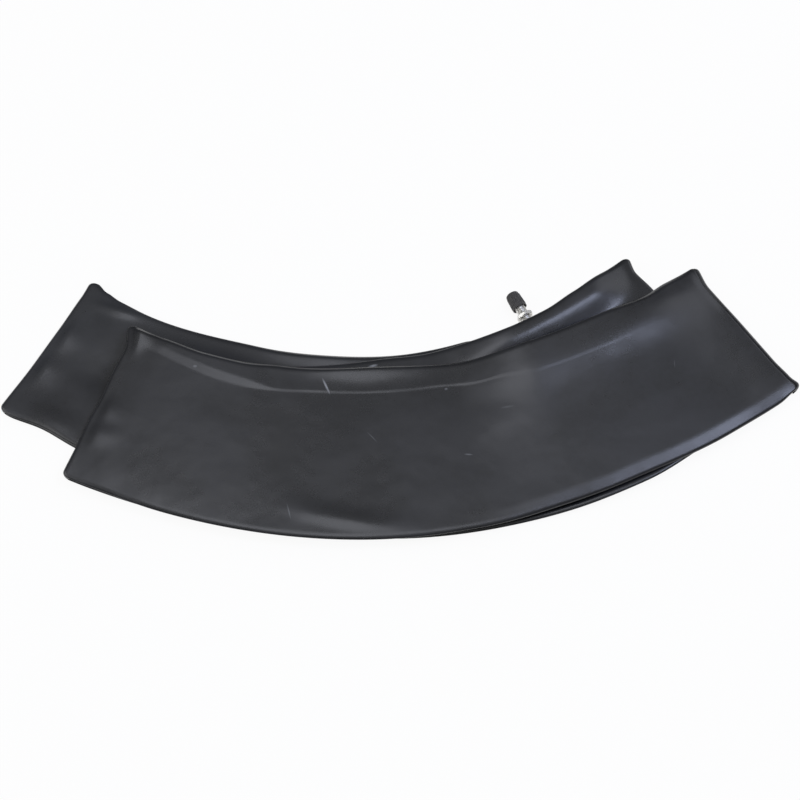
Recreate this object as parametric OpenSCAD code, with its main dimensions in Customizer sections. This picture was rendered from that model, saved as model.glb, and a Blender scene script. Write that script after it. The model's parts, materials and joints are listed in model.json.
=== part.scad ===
// Wide bicycle inner tube, let down flat and folded twice into a curved bundle of four layers.
// The tube is one closed ring. From the top its layers are 0, 1, 2 and 3, and their folds are:
// front left joins layers 1 and 0, front right wraps layer 0 round to layer 3,
// rear left joins layers 3 and 2, rear right joins layers 2 and 1.
// The valve stands on the rim edge of layer 2. +X runs along the bundle, +Y to its hollow rim side.

/* [Tube] */
// Width of the tube pressed flat, at a fold
flat_width = 120; // [110:1:130]
// Extra width of a layer half way along it
mid_swell = 7; // [0:0.5:8]
// Rubber wall
wall = 0.9; // [0.7:0.05:1]
// Thickness of a layer, two walls and the air between them
layer_t = 3.2; // [2.6:0.1:4]
// Thickness of a layer where it is creased
crease_t = 2.3; // [2.1:0.1:2.5]
// Air between one layer and the next
layer_gap = 0.4; // [0.3:0.1:1]

/* [Folds] */
// Middle of the front left fold, along the bundle
front_left_x = -215; // [-230:1:-200]
// Middle of the front left fold, towards the rim side
front_left_y = -8.5; // [-15:0.5:5]
// Heading of the tube at the front left fold, in degrees
front_left_turn = -22; // [-30:1:-15]
// Middle of the front right fold, along the bundle
front_right_x = 251; // [245:1:265]
// Middle of the front right fold, towards the rim side
front_right_y = 55.5; // [45:0.5:65]
// Heading of the tube at the front right fold, in degrees
front_right_turn = 36.5; // [30:0.5:40]
// Middle of the rear left fold, along the bundle
rear_left_x = -255; // [-270:1:-245]
// Middle of the rear left fold, towards the rim side
rear_left_y = 41; // [33:0.5:50]
// Heading of the tube at the rear left fold, in degrees
rear_left_turn = -31.5; // [-38:0.5:-25]
// Middle of the rear right fold, along the bundle
rear_right_x = 202; // [195:1:207]
// Middle of the rear right fold, towards the rim side
rear_right_y = 63.5; // [57:0.5:70]
// Heading of the tube at the rear right fold, in degrees
rear_right_turn = 39.5; // [36:0.5:41]
// Rise of the rim edge at the front left fold
left_lift = 4; // [0:0.5:8]
// Drop of the tyre edge where the front left fold hangs past the rear layers
left_drop = 2.5; // [0:0.5:3]
// Width of the strip that hangs past the rear layers
hang_width = 24; // [16:1:30]
// Share of the top layer in which it comes down to its fold
wrap_share = 0.06; // [0.05:0.005:0.07]

/* [Bulge at the valve] */
// Distance of the valve from the rear right fold, along the tube
valve_from_fold = 100; // [85:1:115]
// Radius of the round rim edge that the stiff valve base props open
bulge_r = 5.2; // [4.5:0.1:6]
// Distance that the propped edge draws in from the flat edge
bulge_draw = 12.5; // [6:0.5:14]
// Length over which the bulge fades, each way from the valve
bulge_run = 90; // [70:1:110]
// Half of the length with a straight, even bulge that the valve base sits on
bulge_even = 14; // [13:0.5:18]
// Width of the slope from the bulge down to the flat layer
bulge_slope = 16; // [12:1:20]

/* [Valve] */
// Droop of the valve below level, in degrees
valve_droop = 3.5; // [0:0.5:4]
// Outside diameter of the stem thread
stem_d = 7.7; // [7.5:0.1:8]
// Length of the stem from the tube to its mouth
stem_len = 31; // [30:0.5:40]
// Diameter of the flange that is moulded into the rubber base
flange_d = 12; // [10:0.5:13]
// Thickness of that flange
flange_t = 1.2; // [0.8:0.1:1.4]
// Diameter of the rubber base
base_d = 22; // [20:0.5:24]
// Thickness of the rubber base round the tube's edge
base_t = 1.4; // [1:0.1:1.5]
// Height of the base's flat seat above the tube's edge
base_rise = 2.4; // [2.2:0.1:3]
// Diameter of that seat
seat_d = 12.5; // [12:0.5:14]
// Diameter of the base washer
washer_d = 14; // [13:0.5:15]
// Thickness of the base washer
washer_t = 1.2; // [0.8:0.1:2]
// Width of the nuts across their flats
nut_af = 11; // [10:0.5:12]
// Thickness of the base nut
base_nut_t = 3.5; // [3:0.1:4]
// Thickness of the rim nut
rim_nut_t = 3; // [2.5:0.1:4]
// Distance of the rim nut from the base nut
rim_nut_gap = 5; // [1:0.5:6]
// Play of what slides on the stem thread, on each side
thread_play = 0.08; // [0.03:0.01:0.1]

/* [Valve core] */
// Outside diameter of the core's threaded plug
plug_d = 5.2; // [5.1:0.05:5.3]
// Length of the plug
plug_len = 4.5; // [4:0.1:5]
// Depth of the plug below the stem's mouth
plug_depth = 1.2; // [1:0.1:1.5]
// Outside diameter of the core's barrel
barrel_d = 3.9; // [3.8:0.05:4]
// Length of the barrel
barrel_len = 13; // [12:0.5:14]
// Bore of the barrel
barrel_bore = 3.1; // [3:0.05:3.2]
// Length of the barrel's sealing ring
ring_len = 2; // [1.6:0.1:2.4]
// Diameter of the core's pin
pin_d = 1.1; // [1:0.05:1.2]
// Depth of the pin's tip below the stem's mouth
pin_depth = 0.4; // [0.2:0.1:0.6]
// Diameter of the spring's wire
wire_d = 0.35; // [0.3:0.05:0.4]
// Turns of the spring
spring_turns = 8; // [6:1:9]
// Diameter of the cup that closes the barrel
cup_d = 4; // [3.8:0.1:4.2]
// Travel of the pin when it is pressed
pin_travel = 1.2; // [1:0.1:1.5]

/* [Cap] */
// Outside diameter of the cap at its open end
cap_d = 11; // [10.4:0.1:11.4]
// Outside diameter of the cap under its dome
cap_top_d = 9.8; // [9.4:0.1:10.2]
// Length of the cap
cap_len = 13.6; // [13:0.1:15]
// Length of stem inside the cap
cap_grip = 10.3; // [9.5:0.1:10.5]
// Thickness of the cap's gasket
gasket_t = 1.1; // [0.8:0.1:1.2]
// Ribs round the cap
cap_ribs = 18; // [12:1:24]
// Radius of a rib
rib_r = 0.35; // [0.25:0.05:0.4]

/* [Hidden] */
$fn = 64;

rubber = "#2c2e31";
nickel = "#c9c8c2";
brass = "#b9985a";
plastic = "#1b1b1c";

// Rings along a layer, rings round a fold, and round points of a section
layer_steps = 21;
fold_steps = 6;
// Running clearance inside the valve, and between bonded faces
core_play = 0.05;
bond = 0.02;
// Gap between the rubber base's round seat and the tube's bulge, which also curves along its length
seat_gap = 0.3;
// Height of the layer that lies over the valve above the valve's widest part
over_valve = 0.35;

// ---- heights: the centre of each layer, from the top one down, and the folds' radius
pitch = layer_t + layer_gap;
fold_r = pitch / 2;
function level(k) = layer_t / 2 + (3 - k) * pitch;

// ---- folds in plan: [x, y, heading]
front_left = [front_left_x, front_left_y, front_left_turn];
front_right = [front_right_x, front_right_y, front_right_turn];
rear_left = [rear_left_x, rear_left_y, rear_left_turn];
rear_right = [rear_right_x, rear_right_y, rear_right_turn];

// ---- helpers
function clamp01(x) = min(max(x, 0), 1);
function ease(x) = let (c = clamp01(x)) c * c * (3 - 2 * c);
function mix(a, b, t) = a + (b - a) * t;
function plan(p) = [p.x, p.y];
function unit2(turn) = [cos(turn), sin(turn)];

// A layer's centre line in plan: a cubic curve from fold a (left) to fold b (right) that leaves each
// fold square to it. A circular arc's handle length, times a reach at each end.
function handle(a, b) = norm(plan(b) - plan(a)) / (3 * pow(cos((b.z - a.z) / 4), 2));
function curve(a, b, reach, t) =
    let (h = handle(a, b), s = 1 - t,
         p1 = plan(a) + reach[0] * h * unit2(a.z),
         p2 = plan(b) - reach[1] * h * unit2(b.z))
    s * s * s * plan(a) + 3 * s * s * t * p1 + 3 * s * t * t * p2 + t * t * t * plan(b);
function curve_turn(a, b, reach, t) =
    let (d = curve(a, b, reach, t + 0.001) - curve(a, b, reach, t - 0.001))
    atan2(d.y, d.x);
// Length of the arc that such a curve is close to
function arc_len(a, b) =
    let (half = (b.z - a.z) / 2)
    norm(plan(b) - plan(a)) * half * PI / 180 / sin(half);

// How each layer's curve reaches out of its left and right folds
reach0 = [0.9, 1.3];
reach1 = [1, 1.2];
reach2 = [1.3, 1];
reach3 = [1, 1.3];

// ---- the valve's place on layer 2
valve_t = 1 - valve_from_fold / arc_len(rear_left, rear_right);
valve_mid = curve(rear_left, rear_right, reach2, valve_t);
valve_turn = curve_turn(rear_left, rear_right, reach2, valve_t);
function bulge_at(p, run) =
    let (d = abs((p - valve_mid) * unit2(valve_turn)))
    ease((run - d) / (run - bulge_even));
// The rim edge isn't quite parallel to the centre line there, because the layer narrows to its fold
edge_turn = atan(mid_swell * PI * cos(180 * valve_t) / 2 / arc_len(rear_left, rear_right));
bulge = bulge_r - layer_t / 2;
bulge_s = (flat_width + mid_swell * sin(180 * valve_t)) / 2 - bulge_draw - bulge_r;
valve_at = [valve_mid.x - sin(valve_turn) * bulge_s,
            valve_mid.y + cos(valve_turn) * bulge_s,
            level(2) + bulge];

// ---- sections: [x, y, z, turn, travel, half thickness, width, bulge, ride, ride from, ride to, left]
// travel is the angle at which the tube's centre line runs in its own upright plane, ride is the rise
// of the rim edge where it rides over the bulge, and left is the share of the front left fold's tilt.
function section(p, z, turn, travel, half, width, swell, ride, left) =
    [p.x, p.y, z, turn, travel, half, width, swell, ride[0], ride[1], ride[2], left];

// Section's outline, inset by e: [across the tube, up from its middle plane, upward shift]
function outline(c, e) =
    let (hw = c[6] / 2, half = c[5] - e, swell = c[7], r = c[5] + swell - e,
         draw = bulge == 0 ? 0 : bulge_draw * swell / bulge,
         tyre = c[5] - hw,
         rim = hw - draw - c[5] - swell,
         from = swell > 0 ? mix(c[9], rim - bulge_slope, clamp01(swell / bulge * 4)) : c[9],
         to = swell > 0 ? rim : c[10],
         last = min(to, rim),
         step = swell > 0 ? 1 / 4 : 1 / 3,
         flat = [tyre, hang_width - hw, 0, for (i = [0:3]) mix(from, last, i * step)],
         half_at = function (s) half + swell * ease((s - from) / (rim - from)),
         rise_at = function (s) swell * ease((s - from) / (rim - from))
                   + c[8] * ease((s - c[9]) / (c[10] - c[9]))
                   + c[11] * left_lift * ease((s - left_from) / (edge_s - left_from))
                   - pow(c[11], 2) * left_drop * pow(clamp01((hang_width - hw - s) / hang_width), 2),
         upper = concat(
             [[tyre - half * cos(45), half * sin(45)]],
             [for (s = flat) [s, half_at(s)]],
             [for (a = [90, 60, 30]) [rim + r * cos(a), r * sin(a)]]),
         top = [for (q = upper) [q.x, q.y, rise_at(q.x)]],
         count = len(top))
    concat([[tyre - half, 0, rise_at(tyre - half)]],
           top,
           [[rim + r, 0, rise_at(rim + r)]],
           [for (i = [count - 1:-1:0]) [top[i].x, -top[i].y, top[i].z]]);

function ring(c, e) =
    let (n = [-sin(c[3]), cos(c[3]), 0],
         b = [sin(c[4]) * cos(c[3]), sin(c[4]) * sin(c[3]), -cos(c[4])])
    [for (q = outline(c, e)) [c[0], c[1], c[2]] + n * q.x + b * q.y + [0, 0, q.z]];

// ---- how the rim edge rises over the bulge: [height, from, to] across the tube
edge_s = flat_width / 2;
left_from = 0.15 * edge_s;
valve_half = max(washer_d / 2, bulge_r + seat_gap + base_t);
ride_height = valve_half + over_valve + bulge + layer_t / 2 - pitch;
ride_from = bulge_s - bulge_slope;
// The front layer lies this far out from the rear ones, rises from this far beyond the bulge's slope,
// and the layer under it rises from this far before the slope
front_set = 14;
front_from = 6;
rear_back = 2;
no_ride = [0, left_from, edge_s];
// Each layer over the bulge comes down this much later along the bundle than the one under it
ride_run = 14;
function ride_zone(left, height, from, to) =
    [height, mix(from, no_ride[1], left), mix(to, no_ride[2], left)];
// Share of the front left fold's tilt at a point of a layer, and how far that tilt reaches
tilt_run = 200;
function left_share(p) = ease(1 - norm(p - plan(front_left)) / tilt_run);

// ---- layers, each as a list of sections along t, its share of the way from its left fold
crease_share = 0.06;
function half_at(t) = mix(crease_t, layer_t, ease(min(t, 1 - t) / crease_share)) / 2;
function width_at(t) = flat_width + mid_swell * sin(180 * t);
function layer(a, b, reach, k, travel, ts) = [
    for (t = ts)
        let (p = curve(a, b, reach, t),
             left = k < 2 ? left_share(p) : 0,
             swell = k == 2 ? bulge * bulge_at(p, bulge_run) : 0,
             wrap = k == 0 ? ease((t - 1 + wrap_share) / wrap_share) : 0,
             flatten = k == 0 ? ease((t - 1 + 3 * wrap_share) / (2 * wrap_share)) : 0,
             ride = k < 2 ? ride_height * bulge_at(p, bulge_run + (2 - k) * ride_run) * (1 - flatten) : 0,
             from = k == 0 ? ride_from + front_from : ride_from - rear_back,
             to = ride_from + bulge_slope + (k == 0 ? front_set : 0))
        section(p, mix(level(k), level(2), wrap), curve_turn(a, b, reach, t), travel,
                half_at(t), width_at(t), swell, ride_zone(left, ride, from, to), left)];

// A fold's sections between its two layers, from travel angle a0 to a1, turning about centre height z
function fold(f, z, a0, a1, left) =
    let (side = a1 < a0 ? 90 : -90)
    [for (i = [1:fold_steps - 1])
        let (a = mix(a0, a1, i / fold_steps),
             out = fold_r * cos(a + side),
             up = fold_r * sin(a + side))
        section(plan(f) + out * unit2(f.z), z + up, f.z, a, crease_t / 2, flat_width, 0,
                no_ride, left)];

back = [for (i = [layer_steps:-1:0]) i / layer_steps];
// Layer 0 has closer rings where it comes down to its right fold
wrap_steps = 6;
wrap_rings = concat([for (i = [0:layer_steps - 1]) i / layer_steps * (1 - wrap_share)],
                    [for (i = [0:wrap_steps]) 1 - wrap_share * (1 - i / wrap_steps)]);
// Layer 2 has closer rings at the valve, for the hole under it
hole_half = 3.5;
hole_dt = hole_half / arc_len(rear_left, rear_right);
seat_dt = bulge_even / arc_len(rear_left, rear_right);
after = 4;
before = layer_steps - after - 2;
valve_rings = concat([for (i = [0:before]) i / before * (valve_t - seat_dt)],
                     [valve_t - hole_dt, valve_t + hole_dt],
                     [for (i = [0:after]) mix(valve_t + seat_dt, 1, i / after)]);
hole_ring = before + 1;

sections = concat(
    layer(front_left, rear_right, reach1, 1, 180, back),
    fold(front_left, level(1) + fold_r, 180, 0, 1),
    layer(front_left, front_right, reach0, 0, 0, wrap_rings),
    fold(front_right, level(3) + fold_r, 0, -180, 0),
    layer(rear_left, front_right, reach3, 3, -180, back),
    fold(rear_left, level(3) + fold_r, -180, -360, 0),
    layer(rear_left, rear_right, reach2, 2, -360, valve_rings),
    fold(rear_right, level(2) + fold_r, -360, -180, 0));
ring_count = len(sections);
hole_index = ring_count - (fold_steps - 1) - len(valve_rings) + hole_ring;

// ---- the tube: the outer skin and the inner skin, joined round the hole under the valve
side = len(outline(sections[0], 0));
rim_point = side / 2;
function in_hole(i, j) = i == hole_index && (j == rim_point - 1 || j == rim_point);
function quad(a, b, c, d) = [[a, b, c], [a, c, d]];
function skin(base, flip) = [
    for (i = [0:ring_count - 1], j = [0:side - 1])
        if (!in_hole(i, j))
            let (i2 = (i + 1) % ring_count,
                 j2 = (j + 1) % side,
                 a = base + i * side + j,
                 b = base + i2 * side + j,
                 c = base + i2 * side + j2,
                 d = base + i * side + j2)
            each (flip ? quad(d, c, b, a) : quad(a, b, c, d))];
inner_base = ring_count * side;
hole_loop = let (i = hole_index, j = rim_point)
    [i * side + j - 1, (i + 1) * side + j - 1, (i + 1) * side + j, (i + 1) * side + j + 1,
     i * side + j + 1, i * side + j];
hole_rim = [
    for (k = [0:len(hole_loop) - 1])
        let (a = hole_loop[k], b = hole_loop[(k + 1) % len(hole_loop)])
        each quad(a, b, b + inner_base, a + inner_base)];

module tube_body() {
    color(rubber)
        polyhedron(points = concat([for (c = sections) each ring(c, 0)],
                                   [for (c = sections) each ring(c, wall)]),
                   faces = concat(skin(0, false), skin(inner_base, true), hole_rim),
                   convexity = 20);
}

// ---- the valve, drawn along its own axis: 0 is the centre of the bulge, local Y runs along the tube
seat_z = bulge_r + base_rise;
washer_z = seat_z + bond;
base_nut_z = washer_z + washer_t + bond;
rim_nut_z = base_nut_z + base_nut_t + rim_nut_gap;
mouth_z = bulge_r + stem_len;
flange_z = bulge_r + seat_gap;
nut_bore = stem_d + 2 * thread_play;

module at_valve() {
    translate(valve_at)
        rotate([0, 90 + valve_droop, valve_turn + edge_turn + 90])
            children();
}

// A ring about the axis, from height z
module tube_ring(outer, bore, height, z) {
    translate([0, 0, z])
        difference() {
            cylinder(d = outer, h = height);
            translate([0, 0, -1])
                cylinder(d = bore, h = height + 2);
        }
}

module hex_nut(height, z) {
    corner_d = nut_af / cos(30);
    translate([0, 0, z])
        difference() {
            intersection() {
                cylinder(d = corner_d, h = height, $fn = 6);
                union() {
                    cylinder(d1 = nut_af, d2 = nut_af + height, h = height / 2);
                    translate([0, 0, height / 2])
                        cylinder(d1 = nut_af + height, d2 = nut_af, h = height / 2);
                }
            }
            translate([0, 0, -1])
                cylinder(d = nut_bore, h = height + 2);
        }
}

module valve_base() {
    saddle_r = bulge_r + seat_gap;
    skirt_z = saddle_r * 0.3;
    boss_z = saddle_r * 0.6;
    boss_flare = 1;
    color(rubber) at_valve()
        difference() {
            union() {
                intersection() {
                    rotate([90, 0, 0])
                        cylinder(r = saddle_r + base_t, h = base_d, center = true);
                    translate([0, 0, skirt_z])
                        cylinder(d = base_d, h = saddle_r + base_t);
                }
                translate([0, 0, boss_z])
                    cylinder(d1 = seat_d + boss_flare, d2 = seat_d, h = seat_z - boss_z);
            }
            rotate([90, 0, 0])
                cylinder(r = saddle_r, h = base_d + 10, center = true);
            cylinder(d = stem_d + 2 * bond, h = seat_z + 1);
            cylinder(d = flange_d + 2 * bond, h = flange_z + flange_t + bond);
        }
}

plug_top = mouth_z - plug_depth;
plug_z = plug_top - plug_len;
collar_t = 0.6;
ring_z = plug_z - collar_t - ring_len;
barrel_z = plug_z - barrel_len;
lip_t = 1;
seat_taper = 0.6;
chamber_d = plug_d + 2 * core_play;
cup_room_d = cup_d + 0.6;

cup_seal_t = 0.8;
cup_t = 1.4;
cup_gap = 0.05;
cup_seal_z = barrel_z - cup_gap - cup_seal_t;
cup_z = cup_seal_z - cup_t;
pin_tail = 0.3;

module valve_stem() {
    chamfer = 0.5;
    air_d = 3.2;
    room_z = cup_z - pin_tail - pin_travel - 1;
    color(nickel) at_valve()
        difference() {
            union() {
                translate([0, 0, flange_z])
                    cylinder(d = flange_d, h = flange_t);
                translate([0, 0, flange_z])
                    cylinder(d = stem_d, h = mouth_z - chamfer - flange_z);
                translate([0, 0, mouth_z - chamfer])
                    cylinder(d1 = stem_d, d2 = stem_d - 2 * chamfer, h = chamfer);
            }
            cylinder(d = air_d, h = mouth_z);
            translate([0, 0, room_z])
                cylinder(d = cup_room_d, h = mouth_z - room_z);
            translate([0, 0, ring_z - seat_taper])
                cylinder(d1 = cup_room_d, d2 = chamber_d, h = seat_taper);
            translate([0, 0, ring_z])
                cylinder(d = chamber_d, h = mouth_z - ring_z + 1);
        }
}

module base_washer() {
    color(nickel) at_valve()
        tube_ring(washer_d, nut_bore, washer_t, washer_z);
}

module base_nut() {
    color(nickel) at_valve()
        hex_nut(base_nut_t, base_nut_z);
}

module rim_nut() {
    color(nickel) at_valve()
        hex_nut(rim_nut_t, rim_nut_z);
}

// The plug's upper part is cut to a flat bridge that a core key turns
module core_plug() {
    bridge_w = 2.2;
    bridge_h = 2;
    color(brass) at_valve()
        difference() {
            translate([0, 0, plug_z])
                cylinder(d = plug_d, h = plug_len);
            cylinder(d = pin_d + 0.4, h = plug_top + 1);
            for (s = [-1, 1])
                translate([s * (bridge_w + plug_d) / 2, 0, plug_top])
                    cube([plug_d, 2 * plug_d, 2 * bridge_h], center = true);
        }
}

module core_barrel() {
    color(brass) at_valve()
        difference() {
            union() {
                translate([0, 0, barrel_z])
                    cylinder(d = barrel_d, h = barrel_len - bond);
                translate([0, 0, plug_z - collar_t])
                    cylinder(d = plug_d - 0.4, h = collar_t - bond);
            }
            cylinder(d = pin_d + 0.8, h = plug_z);
            translate([0, 0, barrel_z + lip_t])
                cylinder(d = barrel_bore, h = barrel_len);
        }
}

module core_ring() {
    color("#8c2f25") at_valve()
        tube_ring(plug_d - 0.1, barrel_d + 2 * bond, ring_len - bond, ring_z);
}

pin_collar_t = 0.8;
pin_collar_z = plug_z - 1.5;

module core_pin() {
    color(brass) at_valve()
        union() {
            translate([0, 0, cup_z - pin_tail])
                cylinder(d = pin_d, h = mouth_z - pin_depth - cup_z + pin_tail);
            translate([0, 0, pin_collar_z])
                cylinder(d = barrel_bore - 0.4, h = pin_collar_t);
        }
}

module core_cup_seal() {
    color("#202022") at_valve()
        tube_ring(barrel_d - 0.2, pin_d + 2 * bond, cup_seal_t - bond, cup_seal_z);
}

module core_cup() {
    color(brass) at_valve()
        difference() {
            translate([0, 0, cup_z])
                cylinder(d = cup_d, h = cup_t + cup_seal_t * 0.6);
            cylinder(d = pin_d + 2 * bond, h = mouth_z);
            translate([0, 0, cup_seal_z - bond])
                cylinder(d = barrel_d - 0.2 + 2 * bond, h = cup_seal_t);
        }
}

// A coil of wire between the barrel's lip and the pin's collar
spring_low = barrel_z + lip_t + wire_d / 2 + bond;
spring_high = pin_collar_z - wire_d / 2 - bond;
spring_r = (barrel_bore - wire_d) / 2 - 0.1;
wire_sides = 6;
turn_steps = 10;
spring_rings = spring_turns * turn_steps;
function wire_ring(i) =
    let (a = 360 * i / turn_steps,
         z = mix(spring_low, spring_high, i / spring_rings))
    [for (k = [0:wire_sides - 1])
        let (w = 360 * k / wire_sides, r = spring_r + wire_d / 2 * cos(w))
        [r * cos(a), r * sin(a), z + wire_d / 2 * sin(w)]];
wire_end = spring_rings * wire_sides;

module core_spring() {
    color(nickel) at_valve()
        polyhedron(
            points = [for (i = [0:spring_rings]) each wire_ring(i)],
            faces = concat(
                [for (i = [0:spring_rings - 1], k = [0:wire_sides - 1])
                    let (k2 = (k + 1) % wire_sides, a = i * wire_sides)
                    each quad(a + k, a + wire_sides + k, a + wire_sides + k2, a + k2)],
                [[for (k = [0:wire_sides - 1]) k],
                 [for (k = [wire_sides - 1:-1:0]) wire_end + k]]),
            convexity = 10);
}

cap_open_z = mouth_z - cap_grip;
cap_bore = stem_d + 2 * thread_play;
gasket_z = mouth_z + bond;
cap_room_z = gasket_z + gasket_t + bond;

module valve_cap() {
    dome_h = 1.6;
    dome_steps = 6;
    shoulder_z = cap_open_z + cap_len - dome_h;
    rib_margin = 1.2;
    rib_out = 0.15;
    rib_z = cap_open_z + rib_margin;
    rib_len = shoulder_z - rib_margin - rib_z;
    color(plastic) at_valve()
        difference() {
            union() {
                rotate_extrude()
                    polygon(concat(
                        [[0, cap_open_z], [cap_d / 2, cap_open_z]],
                        [for (i = [0:dome_steps])
                            let (a = 90 * i / dome_steps)
                            [cap_top_d / 2 - dome_h * (1 - cos(a)),
                             shoulder_z + dome_h * sin(a)]],
                        [[0, shoulder_z + dome_h]]));
                for (i = [0:cap_ribs - 1])
                    rotate([0, 0, 360 * i / cap_ribs])
                        translate([cap_top_d / 2 + rib_out, 0, rib_z])
                            cylinder(r = rib_r, h = rib_len, $fn = 24);
            }
            translate([0, 0, cap_open_z - 1])
                cylinder(d = cap_bore, h = cap_room_z - cap_open_z + 1);
        }
}

module cap_gasket() {
    color("#3a3a3c") at_valve()
        translate([0, 0, gasket_z])
            cylinder(d = cap_bore - 2 * core_play, h = gasket_t);
}

tube_body();
valve_base();
valve_stem();
base_washer();
base_nut();
rim_nut();
core_plug();
core_barrel();
core_ring();
core_pin();
core_spring();
core_cup();
core_cup_seal();
valve_cap();
cap_gasket();
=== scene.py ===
"""A wide bicycle inner tube, let down flat and folded, with its car-type valve.

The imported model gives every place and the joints. Lengths inside the shape functions are in
millimetres, and become metres when a mesh is made.
"""
import json
import math

import bpy
import numpy as np
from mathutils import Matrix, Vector


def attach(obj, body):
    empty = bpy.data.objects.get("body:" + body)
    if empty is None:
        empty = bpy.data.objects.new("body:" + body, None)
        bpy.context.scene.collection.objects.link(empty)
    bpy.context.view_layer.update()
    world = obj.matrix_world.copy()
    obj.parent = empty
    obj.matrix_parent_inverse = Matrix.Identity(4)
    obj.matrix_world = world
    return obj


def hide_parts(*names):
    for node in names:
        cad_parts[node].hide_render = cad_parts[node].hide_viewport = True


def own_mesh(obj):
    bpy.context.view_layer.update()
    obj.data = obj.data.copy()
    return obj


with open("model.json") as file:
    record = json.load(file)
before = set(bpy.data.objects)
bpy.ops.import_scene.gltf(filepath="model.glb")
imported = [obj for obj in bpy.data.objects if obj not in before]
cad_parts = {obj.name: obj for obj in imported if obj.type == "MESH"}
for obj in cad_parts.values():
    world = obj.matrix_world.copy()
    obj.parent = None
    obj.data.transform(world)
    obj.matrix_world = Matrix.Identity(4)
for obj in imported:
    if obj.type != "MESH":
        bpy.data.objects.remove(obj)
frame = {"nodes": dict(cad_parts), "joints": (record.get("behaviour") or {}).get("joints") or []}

bl_info = {
    "name": "Folded inner tube",
    "version": (1, 0, 0),
    "blender": (4, 5, 0),
    "location": "View3D > Sidebar > Inner tube",
    "description": "Skin, valve, cap and studio stage of a folded bicycle inner tube",
    "category": "Add Mesh",
}

MM = 0.001
# Radius of the bore of the nuts and the cap, and how close two radii are that count as one
BORE, TOUCH = 3.93, 0.01
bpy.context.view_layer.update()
JOINTS = {joint["name"]: joint for joint in frame["joints"]}

# The four folds in plan: X, Y and heading in degrees
FRONT_LEFT = (-215.0, -8.5, -22.0)
FRONT_RIGHT = (251.0, 55.5, 36.5)
REAR_LEFT = (-255.0, 41.0, -31.5)
REAR_RIGHT = (202.0, 63.5, 39.5)

# Layers 0 to 3 from the top down: their left and right folds, how far their curve reaches out of
# each, and the angle at which the tube runs in its own upright plane
LAYER_ENDS = (
    (FRONT_LEFT, FRONT_RIGHT),
    (FRONT_LEFT, REAR_RIGHT),
    (REAR_LEFT, REAR_RIGHT),
    (REAR_LEFT, FRONT_RIGHT),
)
LAYER_REACH = ((0.9, 1.3), (1.0, 1.2), (1.3, 1.0), (1.0, 1.3))
LAYER_TRAVEL = (0.0, 180.0, -360.0, -180.0)
FOLDS = (FRONT_LEFT, FRONT_RIGHT, REAR_LEFT, REAR_RIGHT)


# -------- settings


def mm(name, description, millimetres):
    """A length setting in metres, given here in millimetres."""
    return bpy.props.FloatProperty(
        name=name, description=description, default=millimetres * MM, precision=5, unit="LENGTH"
    )


def shade(name, description, colour):
    """A colour setting, given as an sRGB hex value."""
    return bpy.props.StringProperty(name=name, description=description, default=colour)


class TubeSettings(bpy.types.PropertyGroup):
    flat_width: mm("Flat width", "Width of the tube pressed flat, at a fold", 120)
    mid_swell: mm("Middle swell", "Extra width of a layer half way along it", 7)
    layer_t: mm("Layer thickness", "Two walls and the air between them", 3.2)
    crease_t: mm("Crease thickness", "Thickness of a layer at its folds", 2.3)
    layer_gap: mm("Layer gap", "Air between one layer and the next", 0.4)
    edge_round: mm("Edge rounding", "Length over which an edge rounds off", 4)
    corner_round: mm("Corner rounding", "Radius of a fold's corners in plan", 4.5)
    left_lift: mm("Left lift", "Rise of the rim edge at the front left fold", 4)
    left_drop: mm("Left drop", "Drop of the tyre edge where that fold hangs over", 1.2)
    hang_width: mm("Hanging strip", "Width of the strip that hangs over", 24)
    valve_from_fold: mm("Valve place", "From the rear right fold, along the tube", 100)
    bulge_r: mm("Bulge radius", "Round rim edge that the valve base props open", 5.2)
    bulge_draw: mm("Bulge draw", "How far the propped edge draws in", 12.5)
    bulge_run: mm("Bulge run", "Length over which the bulge fades", 60)
    bulge_even: mm("Bulge seat", "Half length of the even bulge at the valve", 14)
    bulge_slope: mm("Bulge slope", "Width of the slope from bulge to flat layer", 16)
    ride_height: mm("Ride height", "Rise of the layers that lie over the valve", 8.95)
    dark: shade("Rubber, dark", "Deepest tone of the cured rubber", "#191a1d")
    pale: shade("Rubber, pale", "Tone where mould release still lies on it", "#202125")
    # Also the tone of the painted sheen and the painted highlight among the scuffs
    bloom: shade("Bloom", "Tone of scuffs and of wax that came to the surface", "#9a9da3")


class ValveSettings(bpy.types.PropertyGroup):
    thread_pitch: mm("Thread pitch", "32 turns to the inch", 0.794)
    thread_depth: mm("Thread depth", "Depth of the stem's rounded thread", 0.3)
    cap_ribs: bpy.props.IntProperty(name="Cap ribs", description="Grip ribs", default=18)
    rib_height: mm("Rib height", "Height of a grip rib on the cap", 0.38)
    nickel: shade("Nickel", "Plating on the stem, washer and nuts", "#e6e5e2")
    brass: shade("Brass", "Turned brass of the core", "#b9985a")
    plastic: shade("Cap plastic", "Moulded charcoal plastic", "#2f2e2e")


class StageSettings(bpy.types.PropertyGroup):
    lens_mm: bpy.props.FloatProperty(
        name="Lens", description="Focal length in mm on a 36 mm sensor", default=115.6
    )
    distance: mm("Camera distance", "From the middle of the bundle", 1855)
    elevation: bpy.props.FloatProperty(
        name="Elevation",
        description="Camera above the horizon",
        default=math.radians(66),
        subtype="ANGLE",
    )
    floor: shade("Floor", "Matt pale floor", "#f7f7f7")


# -------- small tools


def linear(hex_colour, alpha=1.0):
    """An sRGB hex value as linear red, green, blue and alpha."""
    parts = [int(hex_colour[i:i + 2], 16) / 255 for i in (1, 3, 5)]
    return [p / 12.92 if p <= 0.04045 else ((p + 0.055) / 1.055) ** 2.4 for p in parts] + [alpha]


def millimetres(group, name):
    """A length setting in millimetres."""
    return getattr(group, name) / MM


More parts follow.
